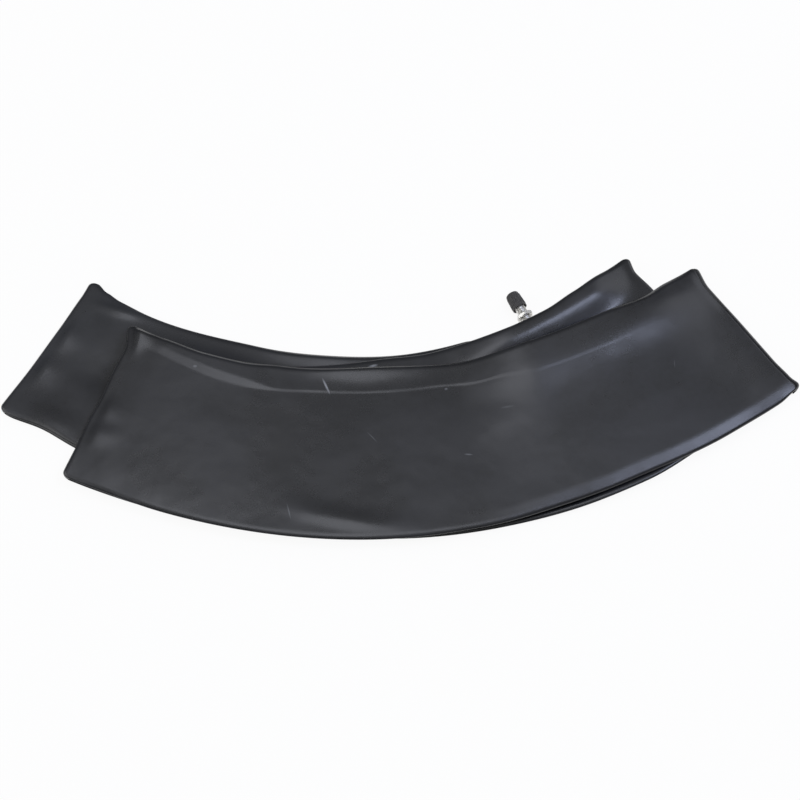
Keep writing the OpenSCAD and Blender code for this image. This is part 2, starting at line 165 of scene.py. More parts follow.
def ease(x):
    """3x^2 - 2x^3, with x kept between 0 and 1: a soft step."""
    x = np.clip(x, 0.0, 1.0)
    return x * x * (3.0 - 2.0 * x)


def mix(a, b, share):
    """The value at a share of the way from a to b."""
    return a + (b - a) * share


def eased_stops(x, stops):
    """Moves from each stop's value to the next along 3x^2 - 2x^3. stops are (place, value)."""
    places, values = np.array(stops, float).T
    i = np.clip(np.searchsorted(places, x) - 1, 0, len(stops) - 2)
    share = ease((x - places[i]) / (places[i + 1] - places[i]))
    return mix(values[i], values[i + 1], share)


def heading(turn):
    """Unit vectors in plan, at headings in degrees."""
    angle = np.radians(turn)
    return np.stack([np.cos(angle), np.sin(angle)], -1)


def put(name, data, place=(0, 0, 0), back=None):
    """A new object in the scene; a lamp or camera has its back turned the way that back points."""
    made = bpy.data.objects.new(name, data)
    bpy.context.scene.collection.objects.link(made)
    made.location = place
    if back:
        made.rotation_euler = (-Vector(back)).to_track_quat("-Z", "Y").to_euler()
    return made


def grid_piece(name, points, material, body, slot, uv=None, closed=(True, True), poles=False):
    """Makes a mesh from points[row, column], in millimetres in the shared frame.

    closed says whether the rows and the columns run round into themselves. With poles, the first
    and last rows are single points, and each is one shared vertex in a fan of triangles.
    """
    rows, columns = points.shape[:2]
    index = np.arange(rows * columns).reshape(rows, columns)
    vertices = points.reshape(-1, 3)
    if poles:
        vertices = vertices[columns - 1:(rows - 1) * columns + 1]
        index = np.clip(index - columns + 1, 0, len(vertices) - 1)
    next_row = np.roll(index, -1, 0) if closed[0] else index[1:]
    this_row = index if closed[0] else index[:-1]
    quads = np.stack([this_row, np.roll(this_row, -1, 1), np.roll(next_row, -1, 1), next_row], -1)
    if not closed[1]:
        quads = quads[:, :-1]
    faces = quads.reshape(-1, 4).tolist()
    if poles:
        faces = [[a for i, a in enumerate(face) if a != face[i - 1]] for face in faces]
    mesh = bpy.data.meshes.new(name)
    mesh.from_pydata((vertices * MM).tolist(), [], faces)
    if uv is not None:
        layer = mesh.uv_layers.new(name="along_across")
        corners = np.empty(len(mesh.loops), np.int32)
        mesh.loops.foreach_get("vertex_index", corners)
        layer.data.foreach_set("uv", (uv.reshape(-1, 2)[corners] * MM).astype(np.float32).ravel())
    mesh.polygons.foreach_set("use_smooth", np.ones(len(mesh.polygons), bool))
    mesh.materials.append(material)
    mesh.validate()
    mesh.update()
    piece = put(name, mesh)
    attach(piece, body)
    return piece


def add_node(tree, kind, inputs=(), **settings):
    """Adds a shader node. settings are its attributes; each input gets the value that is given
    for it, or a link from the output that is given for it."""
    made = tree.nodes.new(kind)
    for key, value in settings.items():
        setattr(made, key, value)
    for key, value in dict(inputs).items():
        if isinstance(value, bpy.types.NodeSocket):
            tree.links.new(value, made.inputs[key])
        else:
            made.inputs[key].default_value = value
    return made


def new_material(name, **sockets):
    """A material with a principled shader; returns it, its node tree, the shader and the place in
    the object on which patterns are laid."""
    material = bpy.data.materials.new(name)
    material.use_nodes = True
    tree = material.node_tree
    shader = tree.nodes["Principled BSDF"]
    for key, value in sockets.items():
        shader.inputs[key.replace("_", " ")].default_value = value
    return material, tree, shader, add_node(tree, "ShaderNodeTexCoord").outputs["Object"]


def feed(tree, shader, **sockets):
    """Links outputs to the shader's inputs, whose spaces are written as underscores."""
    for key, output in sockets.items():
        tree.links.new(output, shader.inputs[key.replace("_", " ")])


def grain(tree, place, scale, detail, strength, depth, roughness=0.5, **under):
    """The normal of a skin with a cloudy grain: about scale features to a metre, depth metres
    high, over the normal that is given."""
    cloud = add_node(tree, "ShaderNodeTexNoise", {
        "Vector": place, "Scale": scale, "Detail": detail, "Roughness": roughness
    }).outputs["Fac"]
    return add_node(tree, "ShaderNodeBump", {
        "Height": cloud, "Strength": strength, "Distance": depth, **under
    }).outputs[0]


def mottle(tree, shader, pattern, span, tones, roughness):
    """The colour goes from one tone to the other over a span of the pattern, and the roughness
    through its range over all of it."""
    share = add_node(tree, "ShaderNodeMapRange", {
        "Value": pattern, "From Min": span[0], "From Max": span[1]
    }).outputs[0]
    colour = add_node(tree, "ShaderNodeMix", {
        "Factor": share, 6: linear(tones[0]), 7: linear(tones[1])
    }, data_type="RGBA").outputs[2]
    rough = add_node(tree, "ShaderNodeMapRange", {
        "Value": pattern, "To Min": roughness[0], "To Max": roughness[1]
    }).outputs[0]
    feed(tree, shader, Base_Color=colour, Roughness=rough)


# -------- the rubber's shape


def layer_line(k, share):
    """Centre line of layer k in plan, and its heading, at shares of the way from its left fold.

    A cubic curve that leaves each fold square to it. Each handle is that of a circular arc between
    the folds, times the layer's reach at that end.
    """
    left, right = LAYER_ENDS[k]
    start, end = np.array(left[:2]), np.array(right[:2])
    quarter = math.radians((right[2] - left[2]) / 4)
    handle = np.linalg.norm(end - start) / (3 * math.cos(quarter) ** 2)
    first = start + LAYER_REACH[k][0] * handle * heading(left[2])
    last = end - LAYER_REACH[k][1] * handle * heading(right[2])
    t = np.asarray(share, float)[:, None]
    s = 1 - t
    line = s**3 * start + 3 * s * s * t * first + 3 * s * t * t * last + t**3 * end
    slope = s * s * (first - start) + 2 * s * t * (last - first) + t * t * (end - last)
    return line, np.degrees(np.arctan2(slope[:, 1], slope[:, 0]))


def layer_walk(k, steps=2000):
    """Layer k's centre line in fine steps: shares, points, headings and the length so far."""
    share = np.linspace(0, 1, steps + 1)
    line, turn = layer_line(k, share)
    lengths = np.linalg.norm(np.diff(line, axis=0), axis=1)
    return share, line, turn, np.concatenate([[0], np.cumsum(lengths)])


class TubeForm:
    """The folded tube as a surface of two parameters: the place along the ring and round it."""

    # Sections along a layer, how evenly they are spread, sections round a fold, and points across
    # the skin, with more of them at the old crease
    LAYER_SECTIONS, EVEN_SHARE, FOLD_SECTIONS = 125, 0.4, 15
    ACROSS, ACROSS_CREASE = 58, (0.7, 0.86, 20)

    # How far the tilt at the front left fold reaches, and the shares of a layer's length over
    # which it thickens from a fold, and the top layer sinks to the one below it
    TILT_RUN, CREASE_SHARE, WRAP_SHARE = 200.0, 0.06, 0.1

    # How far each layer's rim edge and tyre edge stand out from the even width, as (place along,
    # mm); the two lower layers begin alike, in the flap on the left
    FLAP_RIM = ((-14, 3), (-2, 0.4), (12, -2.4), (27, -4.0), (52, -4.7), (150, 0))
    RIM_EDGES = (
        ((-10, 4.8), (26, 2.4), (60, 0.4), (92, 0), (125, 2), (205, 5.5), (300, 0), (405, -0.3),
         (445, -2.2), (466, -0.2), (495, -0.4)),
        ((-10, 4.8), (26, 2.4), (60, 0.4), (110, 0), (215, 3), (262, 0), (338, -4.8), (364, -4.7),
         (394, -2.6), (424, -0.9), (447, 0)),
        FLAP_RIM + ((215, 1.1), (290, 0)),
        FLAP_RIM + ((500, 0), (545, 1.5)),
    )
    TYRE_EDGES = (
        ((20, 0), (70, 1.2), (200, 0.9), (270, 0), (320, -1.7), (365, -1.5), (440, 1.8), (478, 2.3),
         (495, 0.8)),
        ((20, 0), (70, 0.2), (200, 0.2), (300, 0)),
        ((0, 0), (34, -4.4), (58, -3.5), (100, 0)),
        ((0, 0), (34, -4.4), (58, -3.5), (105, -0.5), (180, 0), (270, 2.2), (330, 1.7), (395, 3.3),
         (425, 3.3), (480, -1.2), (530, -1.2), (545, 0)),
    )
    # How far each fold's line is drawn in: (place across, mm)
    FOLD_LINES = {
        FRONT_LEFT: ((-60, 0), (-35, 0.7), (-15, 0.5), (5, 1.6), (25, 1), (44, 1.8), (67, -4)),
        FRONT_RIGHT: ((-60, -0.6), (-50, 1.6), (-33, 2.6), (0, 2.6), (40, 3.2), (60, -0.3)),
        REAR_LEFT: ((-60, 0), (-20, 1.1), (15, 0.8), (45, 0), (61, -1.2)),
        REAR_RIGHT: ((-60, 0), (30, 1.5), (45, 2.2), (60, -1.8)),
    }

    # How the two layers over the valve rise from the tyre edge to the rim edge, as the corners of a
    # chain of straight slopes: (place across, change of slope, rounding)
    RIDE_SLOPES = (
        ((-58, 0.05, 10), (24, 0.172, 10), (41, -0.152, 6)),
        ((32, 0.66, 3), (47.5, -0.66, 4)),
    )
    # How much of that rise each of them has, how far the top layer's tyre edge droops in front of
    # the layers below, and how far the lowest layer's springs up to it: (place along, share or mm)
    RIDE = (
        ((268, 0), (337, 1), (380, 1), (495, 0)),
        ((265, 0), (332, 1), (404, 0.92), (448, 0)),
    )
    DROOP = ((250, 0), (330, 1.8), (400, 2), (450, 2.2), (480, 2.2), (495, 1.2))
    SPRING = ((320, 0), (430, 6.4), (500, 6), (540, 1.2))
    DROOP_WIDTH, DROOP_POWER, SPRING_WIDTH = 9.5, 1.25, 18.0
    # Where the top layer's tyre edge goes from its soft rounding to a half circle
    TIGHT_EDGE = ((250, 0), (350, 1))
    # How fast the rim edge rounds up as the valve props it open, and how far from a fold its
    # corners are drawn in
    OPEN_RATE, CORNER_RUN = 4.0, 26.0

    def __init__(self, settings):
        for name in TubeSettings.__annotations__:
            if name not in ("dark", "pale", "bloom"):
                setattr(self, name, millimetres(settings, name))
        self.pitch = self.layer_t + self.layer_gap
        self.fold_r = self.pitch / 2
        self.bulge = self.bulge_r - self.layer_t / 2
        self.edge_s = self.flat_width / 2
        # The valve stands on the rear layer, whose length is that of the arc between its folds
        half = math.radians((REAR_RIGHT[2] - REAR_LEFT[2]) / 2)
        chord = math.hypot(REAR_RIGHT[0] - REAR_LEFT[0], REAR_RIGHT[1] - REAR_LEFT[1])
        share = 1 - self.valve_from_fold / (chord * half / math.sin(half))
        line, turn = layer_line(2, [share])
        self.valve_mid, self.valve_turn = line[0], turn[0]

    def level(self, k):
        """Height of the middle of layer k."""
        return self.layer_t / 2 + (len(LAYER_ENDS) - 1 - k) * self.pitch

    def bulge_at(self, line):
        """1 at the valve and over the even stretch beside it, fading to 0 over the bulge's run."""
        away = np.abs((line - self.valve_mid) @ heading(self.valve_turn))
        return ease((self.bulge_run - away) / (self.bulge_run - self.bulge_even))

    def layer_rings(self, k, share):
        """Sections of layer k at the given shares of its length."""
        line, turn = layer_line(k, share)
        fine, _, _, walked = layer_walk(k)
        along, total = np.interp(share, fine, walked), walked[-1]
        none = np.zeros(len(share))
        top = k < 2
        left = ease(1 - np.linalg.norm(line - np.array(FRONT_LEFT[:2]), axis=1) / self.TILT_RUN)
        wrap = ease((share - 1 + self.WRAP_SHARE) / self.WRAP_SHARE)
        first = along < total / 2
        folds = LAYER_ENDS[k]
        out = np.where(first[:, None], -heading(folds[0][2]), heading(folds[1][2]))
        return {
            "line": line, "out": out,
            "z": mix(self.level(k), self.level(1), wrap) if k == 0 else none + self.level(k),
            "turn": turn, "travel": none + LAYER_TRAVEL[k],
            "half": mix(self.crease_t, self.layer_t,
                        ease(np.minimum(share, 1 - share) / self.CREASE_SHARE)) / 2,
            "width": self.flat_width + self.mid_swell * np.sin(np.pi * share),
            "swell": self.bulge * self.bulge_at(line) if k == 2 else none,
            "ride": self.ride_height * eased_stops(along, self.RIDE[k]) if top else none,
            "droop": eased_stops(along, self.DROOP) if k == 0 else none,
            "spring": eased_stops(along, self.SPRING) if k == 3 else none,
            "left": left if top else none, "layer": none + k, "along": along,
            "near": np.minimum(along, total - along),
            "fold": np.where(first, *map(FOLDS.index, folds)),
            "rim": eased_stops(along, self.RIM_EDGES[k]),
            "tyre": eased_stops(along, self.TYRE_EDGES[k]),
        }

    def fold_rings(self, fold, height, radius, start, stop, left):
        """Sections round a fold: the travel angle turns half a circle of the given radius about
        the given height, and the fold's line stays where the narrowest fold has it."""
        travel = mix(start, stop, np.arange(1, self.FOLD_SECTIONS) / self.FOLD_SECTIONS)
        side = np.radians(travel + (90 if stop < start else -90))
        none = np.zeros(len(travel))
        along = heading(fold[2])
        out = along if fold[0] > 0 else -along
        reach = radius * np.abs(np.cos(side)) - (radius - self.fold_r)
        low = (1 - np.sin(side)) / 2
        front = fold is FRONT_RIGHT
        return {
            "line": np.array(fold[:2]) + reach[:, None] * out, "out": none[:, None] + out,
            "z": height + radius * np.sin(side),
            "turn": none + fold[2], "travel": travel, "half": none + self.crease_t / 2,
            "width": none + self.flat_width, "swell": none, "ride": none,
            "droop": front * (1 - low) * self.DROOP[-1][1],
            "spring": front * low * self.SPRING[-1][1],
            "left": none + left, "layer": none - 1, "along": none, "near": none,
            "fold": np.full(len(travel), FOLDS.index(fold)),
            "rim": none + self.fold_end(fold, self.RIM_EDGES),
            "tyre": none + self.fold_end(fold, self.TYRE_EDGES),
        }

    def fold_end(self, fold, edges):
        """What the stops of a layer that ends at this fold say there."""
        k = next(k for k, ends in enumerate(LAYER_ENDS) if fold in ends)
        return eased_stops(0 if fold[0] < 0 else layer_walk(k)[-1][-1], edges[k])

    def rings(self):
        """All sections of the ring in order, closer together towards the folds."""
        even = np.linspace(0, 1, self.LAYER_SECTIONS)
        share = mix((1 - np.cos(np.pi * even)) / 2, even, self.EVEN_SHARE)
        small, wide = self.fold_r, self.pitch
        parts = [
            self.layer_rings(1, share[::-1]),
            self.fold_rings(FRONT_LEFT, self.level(1) + small, small, 180, 0, 1),
            self.layer_rings(0, share),
            self.fold_rings(FRONT_RIGHT, self.level(2), wide, 0, -180, 0),
            self.layer_rings(3, share[::-1]),
            self.fold_rings(REAR_LEFT, self.level(3) + small, small, -180, -360, 0),
            self.layer_rings(2, share),
            self.fold_rings(REAR_RIGHT, self.level(2) + small, small, -360, -180, 0),
        ]
        return {key: np.concatenate([part[key] for part in parts]) for key in parts[0]}

    def surface(self):
        """Points of the outer skin, the place along and across at each, in millimetres.

        Across a section the skin lies half a layer's thickness from the middle plane, times the
        square root of 1 - q^2 near an edge, where q goes from 0 to 1 over the edge's rounding.
        Where the valve props the rim edge open, the thickness grows along 3x^2 - 2x^3 towards
        that edge, and the edge draws in.
        """
        rings = self.rings()
        ring = {key: value[:, None] for key, value in rings.items()}
        even = np.unique(np.concatenate([
            np.linspace(0, 1, self.ACROSS), np.linspace(*self.ACROSS_CREASE)
        ]))
        across = ((1 - np.cos(np.pi * even)) / 2)[None]
        half_width = ring["width"] / 2
        open_share = ring["swell"] / self.bulge
        tyre_edge = half_width + ring["tyre"]
        tip = half_width + ring["rim"] - self.bulge_draw * open_share
        thick = ring["half"] + ring["swell"]
        rim_round = mix(self.edge_round, thick, ease(self.OPEN_RATE * open_share))
        tight = (ring["layer"] == 0) * eased_stops(ring["along"], self.TIGHT_EDGE)
        tyre_round = mix(self.edge_round, ring["half"], tight)
        s = mix(-tyre_edge, tip, across)
        start = tip - thick - self.bulge_slope
        grow = ring["swell"] * ease((s - start) / (tip - thick - start))
        height = ring["half"] + grow
        for inside, length in ((s + tyre_edge, tyre_round), (tip - s, rim_round)):
            q = 1 - np.clip(inside / length, 0, 1)
            height = height * np.sqrt(1 - q * q)
        rise = grow + self.rise(ring, s, s + tyre_edge)
        s, height, rise = (
            np.concatenate([side, sign * side[:, -2:0:-1]], 1)
            for side, sign in ((s, 1), (height, -1), (rise, 1))
        )
        turn, travel = np.radians(ring["turn"]), np.radians(ring["travel"])
        flat = np.stack([-np.sin(turn), np.cos(turn), 0 * turn], -1)
        normal = np.stack(
            [np.sin(travel) * np.cos(turn), np.sin(travel) * np.sin(turn), -np.cos(travel)], -1
        )
        centre = np.concatenate([ring["line"], ring["z"][..., None]], -1)
        points = centre + flat * s[..., None] + normal * height[..., None]
        depth = np.minimum(s + tyre_edge, tip - s)
        points[..., 2] += rise + self.relief(rings, s, normal[..., 2] * height, depth)
        shift = self.corners(rings, s, depth)
        points[..., :2] -= ring["out"] * shift[..., None]
        along = ring["along"] + 0 * s
        return points, np.stack([along, s], -1)

    def rise(self, ring, s, inside):
        """How far the middle plane is raised: the ride over the valve, the spring of the lowest
        layer and the tilt at the front left fold, less the droop of the top layer's tyre edge and
        of the strip that hangs over. inside is the distance from the tyre edge."""
        hang = np.clip((self.hang_width - ring["width"] / 2 - s) / self.hang_width, 0, 1)
        droop = np.clip(1 - inside / self.DROOP_WIDTH, 0, 1) ** self.DROOP_POWER
        return (
            ring["ride"] * self.ride_shape(ring["layer"], s)
            - ring["droop"] * droop
            + ring["spring"] * ease(1 - inside / self.SPRING_WIDTH)
            + ring["left"] * self.left_lift * (s / self.edge_s + 1) / 2
            - ring["left"] ** 2 * self.left_drop * hang**2
        )

    def ride_shape(self, layer, s):
        """The rise across each of the two layers over the valve, from 0 to 1 at the rim edge: the
        sum over its corners of change * (d + sqrt(d^2 + w^2)) / 2, where d is the way past the
        corner and w its rounding."""
        def chain(s, corners):
            return sum(c * (s - a + np.sqrt((s - a) ** 2 + w * w)) / 2 for a, c, w in corners)

        front, back = (chain(s, row) / chain(self.edge_s, row) for row in self.RIDE_SLOPES)
        return np.where(layer == 0, front, back)

    def corners(self, rings, s, depth):
        """How far a point near a fold is drawn back from it: each corner is rounded by a quarter
        circle, the fold's line has its own stops, and both fade out over the corner's run."""
        q = np.clip(1 - depth / self.corner_round, 0, 1)
        shift = self.corner_round * (1 - np.sqrt(1 - q * q))
        for number, fold in enumerate(FOLDS):
            rows = rings["fold"] == number
            shift[rows] += eased_stops(s[rows], self.FOLD_LINES[fold])
        return shift * np.clip(1 - rings["near"] / self.CORNER_RUN, 0, 1)[:, None] ** 2

    # Soft swellings of the skin that faces up, or hollows where the height is below 0: layer, place
    # along, place across, half length, half width towards the tyre edge and towards the rim edge,
    # turn in degrees, height
    SWELLINGS = (
        # Along the tyre edge
        (0, 182, -50, 32, 5, 8, -10, 1.0),
        # From the valve on towards the right fold
        (0, 457, 43, 42, 18, 16, -6, 2.5),
        # In the middle of the top layer and at its left end
        (0, 300, 14, 30, 12, 18, 20, 0.6),
        (0, 8, -22, 13, 9, 9, 10, 1.2),
        (0, 7, -3, 11, 8, 9, 0, 0.9),
        (0, 190, 67, 48, 8, 6, 0, 1.6),
        (0, 4, 64, 9, 14, 8, 0, 2.6),
        # The flap on the left
        (2, 32, 49, 17, 4, 4, 10, 1.15),
        (2, 0, 14, 15, 13, 9, 0, 2.0),
        (2, 0, -15, 15, 13, 8, 0, 2.0),
        (2, 215, 63, 60, 9, 5, 0, 1.5),
        (2, 46, -2, 16, 13, 30, 0, -1.5),
        (2, 34, -48, 18, 6, 9, 0, 0.8),
        (2, 120, 41, 45, 10, 7, 0, 1.9),
    )

    # An old crease of the top layer, as (place along, place across), the step up at it as (place
    # along, mm), and the width of that step
    CREASE = ((0, 50.5), (96, 42.3), (166, 46.9), (250, 47.4), (300, 43.4), (340, 37.8),
              (455, 34.5))
    CREASE_STEP = ((4, 0), (30, 0.7), (65, 1.15), (92, 1.05), (130, 0.22), (330, 0.22), (450, 0))
    CREASE_WIDTH = ((90, 8), (130, 1.5))
    # How far from an edge and from a fold this relief has grown to its full height
    RELIEF_EDGE, RELIEF_FOLD = 3.0, 8.0

    def relief(self, rings, s, side, depth):
        """Upward shift of the skin that faces up: the sum of height * exp(-u^2 - v^2) over the
        swellings, and a step along 3x^2 - 2x^3 across the old crease."""
        lift = np.zeros_like(s)
        for k, along, across, length, tyre_side, rim_side, turn, height in self.SWELLINGS:
            rows = rings["layer"] == k
            a = rings["along"][rows][:, None] - along
            b = s[rows] - across
            c, d = heading(turn)
            u, v = a * c + b * d, b * c - a * d
            v = v / np.where(v < 0, tyre_side, rim_side)
            lift[rows] += height * np.exp(-(u / length) ** 2 - v**2)
        rows = rings["layer"] == 0
        along = rings["along"][rows]
        line, step, width = (eased_stops(along, stops)[:, None] for stops in (
            self.CREASE, self.CREASE_STEP, self.CREASE_WIDTH))
        lift[rows] += step * ease((s[rows] - line) / width)
        fade = ease(depth / self.RELIEF_EDGE) * ease(rings["near"][:, None] / self.RELIEF_FOLD)
        return lift * (side > 0) * fade

    def place(self, k, along, across):
        """Where the top skin of layer k lies in plan, and its height, in metres."""
        _, line, turn, walked = layer_walk(k)
        i = int(np.searchsorted(walked[1:], along))
        x, y = line[i] + across * heading(turn[i] + 90)
        return Vector((x, y, self.level(k) + self.layer_t / 2)) * MM, math.radians(turn[i])


# -------- the valve's shapes


class ValveForm:
    """The valve's own frame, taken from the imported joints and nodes, in millimetres."""

    def __init__(self, settings):
        joint = JOINTS["cap_spin"]
        self.axis = np.array(joint["axis"], float)
        self.axis /= np.linalg.norm(self.axis)
        self.origin = np.array(joint["pos_m"], float) / MM
        level = np.cross(self.axis, (0, 0, 1))
        self.side = level / np.linalg.norm(level)
        self.up = np.cross(self.side, self.axis)
        self.pitch = millimetres(settings, "thread_pitch")
        self.depth = millimetres(settings, "thread_depth")

    def span(self, node):
        """Lowest and highest place along the axis, and the largest radius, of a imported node."""
        mesh = frame["nodes"][node].data
        co = np.empty(len(mesh.vertices) * 3, np.float32)
        mesh.vertices.foreach_get("co", co)
        offset = co.reshape(-1, 3) / MM - self.origin
        z = offset @ self.axis
        radius = np.linalg.norm(offset - z[:, None] * self.axis, axis=1)
        return z.min(), z.max(), radius.max()

    def place(self, radius, angle, z):
        """Points in the shared frame at radii, angles and heights about the axis."""
        return (
            self.origin
            + (radius * np.cos(angle))[..., None] * self.side
            + (radius * np.sin(angle))[..., None] * self.up
            + (z + 0 * radius)[..., None] * self.axis
        )

    def turned(self, name, r, angle, z, *looks, **ends):
        """A piece from radii over angles and heights; rows run backwards to face outwards."""
        return grid_piece(name, self.place(r, angle + 0 * r, z)[::-1], *looks, **ends)

    def thread(self, angle, z):
        """0 on a thread's crest, 1 in its root: (1 - cos(2 pi z / pitch - angle)) / 2."""
        return 0.5 - 0.5 * np.cos(2 * np.pi * z / self.pitch - angle)


def once_round(count):
    """Angles once round, in a single row."""
    return np.linspace(0, 2 * np.pi, count, endpoint=False)[None]


def path_points(corners, step):
    """Points along a profile of (radius, height) corners, no more than step apart."""
    out = []
    for (r0, z0), (r1, z1) in zip(corners, corners[1:]):
        count = max(1, math.ceil(math.hypot(r1 - r0, z1 - z0) / step))
        out += [(mix(r0, r1, i / count), mix(z0, z1, i / count)) for i in range(count)]
    return np.array(out + [corners[-1]])


# -------- materials

# Scuffs on the rubber, and pale marks of painted sheen and a painted highlight: layer, place along
# and across in millimetres, turn in degrees, half length and half width, and how pale
SCUFFS_AND_SHEEN = (
    (0, 164, 52, -62, 7.5, 1.0, 1.0),
    (0, 57, 49, 20, 2.5, 1.6, 0.8),
    # A painted highlight: a pale spot at the rim edge of layer 1, standing in for a glint there
    (1, 208, 61, 12, 4.5, 1.5, 0.9),
    (0, 262, 45, 0, 1.4, 0.9, 0.5),
    (0, 305, 20, -8, 7.0, 1.2, 0.25),
    (0, 268, -8, -15, 3.5, 0.8, 0.35),
    (0, 201, 13, -50, 6.0, 0.6, 0.2),
    (0, 147, -46, -70, 7.0, 0.6, 0.3),
    (0, 432, 2, 60, 4.0, 0.5, 0.2),
    # Wide and faint ones: painted sheen that lightens the flap at its fold and along its rim edge
    (2, -4, 4, 0, 36.0, 82.0, 0.055),
    (2, 58, 50, 0, 75.0, 22.0, 0.05),
)
# How far above and below its place a scuff or a painted sheen mark still shows
SCUFF_AND_SHEEN_DEPTH = 5.0


def butyl_rubber(settings):
    """Butyl rubber cured in a polished mould: near black with a soft grey bloom of wax and mould
    release, broad satin reflections, a faint grain, a few scuffs, and some pale marks that are
    painted sheen and one painted highlight."""
    material, tree, shader, place = new_material(
        "butyl rubber, moulded", IOR=1.52, Specular_IOR_Level=0.5
    )
    # Cloudy bloom, about 60 mm across
    cloud = add_node(tree, "ShaderNodeTexNoise", {
        "Vector": place, "Scale": 16.0, "Detail": 3.0
    }).outputs["Fac"]
    # Mottled mould release, about 4 mm across
    release = add_node(tree, "ShaderNodeTexNoise", {
        "Vector": place, "Scale": 240.0, "Detail": 4.0, "Roughness": 0.6
    }).outputs["Fac"]
    both = add_node(tree, "ShaderNodeMath", {0: release, 1: 0.3, 2: cloud},
                    operation="MULTIPLY_ADD").outputs[0]
    ramp = add_node(tree, "ShaderNodeMapRange", {
        "Value": both, "From Min": 0.5, "From Max": 0.8
    }, interpolation_type="SMOOTHSTEP").outputs[0]
    tone = add_node(tree, "ShaderNodeMix", {
        "Factor": ramp, 6: linear(settings.dark), 7: linear(settings.pale)
    }, data_type="RGBA").outputs[2]
    # Each scuff, and each mark of painted sheen, is a stretched ball about its place, pale in its
    # middle
    form = TubeForm(settings)
    scuff_and_sheen = None
    for k, along, across, turn, length, width, share in SCUFFS_AND_SHEEN:
        where, layer_turn = form.place(k, along, across)
        local = add_node(tree, "ShaderNodeMapping", {
            "Vector": place, "Location": where,
            "Rotation": (0, 0, layer_turn + math.radians(turn)),
            "Scale": (length * MM, width * MM, SCUFF_AND_SHEEN_DEPTH * MM),
        }, vector_type="TEXTURE").outputs[0]
        ball = add_node(tree, "ShaderNodeTexGradient", {"Vector": local},
                        gradient_type="SPHERICAL").outputs["Fac"]
        mark = add_node(tree, "ShaderNodeMath", {0: ball, 1: share},
                        operation="MULTIPLY").outputs[0]
        scuff_and_sheen = mark if scuff_and_sheen is None else add_node(
            tree, "ShaderNodeMath", {0: scuff_and_sheen, 1: mark}, operation="MAXIMUM").outputs[0]
    # Grain of the cured skin, 0.8 mm across, and its slow waviness, 30 mm across
    fine = grain(tree, place, 1200.0, 2.0, 0.12, 0.0002)
    slow = grain(tree, place, 34.0, 2.0, 0.5, 0.0012, 0.35, Normal=fine)
    # Scuffs, painted sheen and a painted highlight, all in the pale tone
    colour = add_node(tree, "ShaderNodeMix", {
        "Factor": scuff_and_sheen, 6: tone, 7: linear(settings.bloom)
    }, data_type="RGBA").outputs[2]
    rough = add_node(tree, "ShaderNodeMapRange", {
        "Value": both, "From Min": 0.4, "From Max": 0.9, "To Min": 0.25, "To Max": 0.32
    }).outputs[0]
    feed(tree, shader, Base_Color=colour, Roughness=rough, Normal=slow)
    return material


def plain_rubber(name, colour):
    """Compression-moulded rubber: matt, with a fine sandy grain about 0.4 mm across."""
    material, tree, shader, place = new_material(
        name, Base_Color=linear(colour), Roughness=0.62, IOR=1.52
    )
    feed(tree, shader, Normal=grain(tree, place, 2500.0, 2.0, 0.3, 0.0001))
    return material


def metal(name, bright, dull, roughness):
    """A turned and plated or bare metal: tool marks 0.3 mm apart and a faint tarnish 2 mm across
    vary its tone and roughness."""
    material, tree, shader, place = new_material(name, Metallic=1.0)
    tarnish = add_node(tree, "ShaderNodeTexNoise", {
        "Vector": place, "Scale": 500.0, "Detail": 3.0, "Roughness": 0.6
    }).outputs["Fac"]
    mottle(tree, shader, tarnish, (0.42, 0.66), (bright, dull), (roughness * 0.8, roughness * 1.5))
    feed(tree, shader, Normal=grain(tree, place, 3300.0, 1.0, 0.15, 0.00005))
    return material


def moulded_plastic(settings):
    """Injection-moulded, carbon-filled polypropylene: charcoal with a fine pale speckle, about
    0.5 mm across, and an eggshell sheen."""
    material, tree, shader, place = new_material("polypropylene, moulded", IOR=1.49)
    speck = add_node(tree, "ShaderNodeTexNoise", {
        "Vector": place, "Scale": 1600.0, "Detail": 3.0, "Roughness": 0.7
    }).outputs["Fac"]
    mottle(tree, shader, speck, (0.5, 0.72), (settings.plastic, "#6a6765"), (0.38, 0.6))
    feed(tree, shader, Normal=add_node(tree, "ShaderNodeBump", {
        "Height": speck, "Strength": 0.3, "Distance": 0.00008
    }).outputs[0])
    return material


def dress(node, material):
    """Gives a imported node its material."""
    mesh = frame["nodes"][node].data
    if mesh.materials:
        mesh.materials[0] = material
    else:
        mesh.materials.append(material)


# The two metals: the material's name and the tone of its tarnish
METALS = {"nickel": ("brass, nickel plated", "#b9b7b2"), "brass": ("brass, turned", "#8b6c38")}


def satin(metal_name):
    """Nickel plate or turned brass with a satin finish, made once and used again."""
    name, dull = METALS[metal_name]
    bright = getattr(bpy.context.scene.valve_settings, metal_name)
    return bpy.data.materials.get(name) or metal(name, bright, dull, 0.3)


# -------- operators


